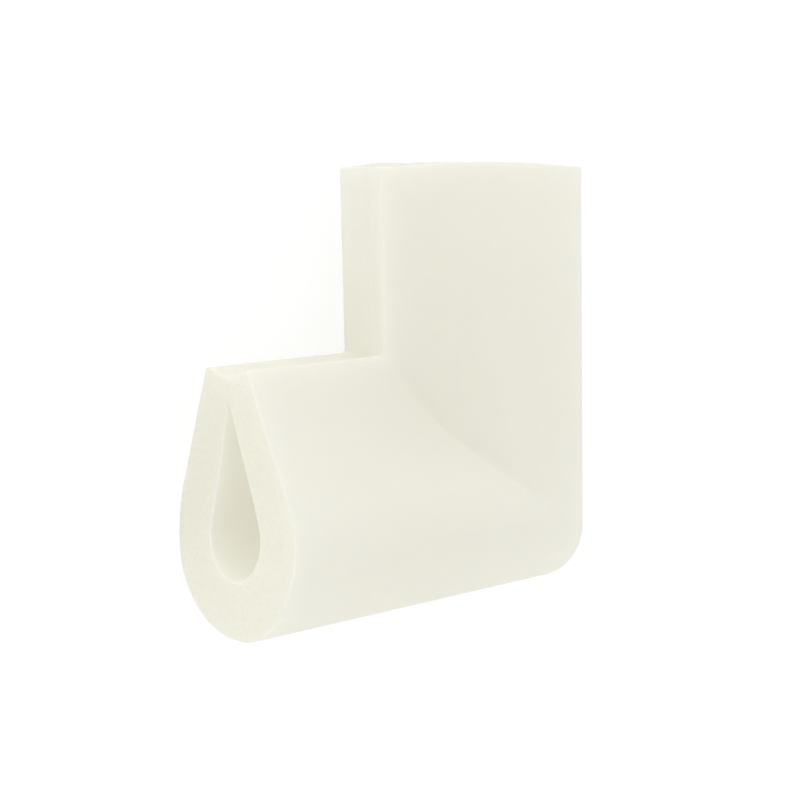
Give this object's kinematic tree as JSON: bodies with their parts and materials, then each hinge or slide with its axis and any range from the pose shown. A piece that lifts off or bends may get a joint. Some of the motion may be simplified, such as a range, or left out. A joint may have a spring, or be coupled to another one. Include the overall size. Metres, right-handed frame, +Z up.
{
  "type": "furniture corner protector",
  "caption": "L-shaped soft foam guard of teardrop section with a bore and pinching lips, clipped over the corner of a table top to cushion knocks.",
  "frame": {"origin": "bottom centre of the guard's box, as it lies on its side", "axes": "the arms run along +X and +Y from the round outer corner, and +Z is up, across the width of the section"},
  "size_m": [0.077, 0.0734, 0.0344],
  "materials": {
    "foam_rubber": "matte skinned cream foam rubber, grainy on the cut ends"
  },
  "bodies": {
    "root": {"corner_guard": "foam_rubber"}
  },
  "joints": []
}
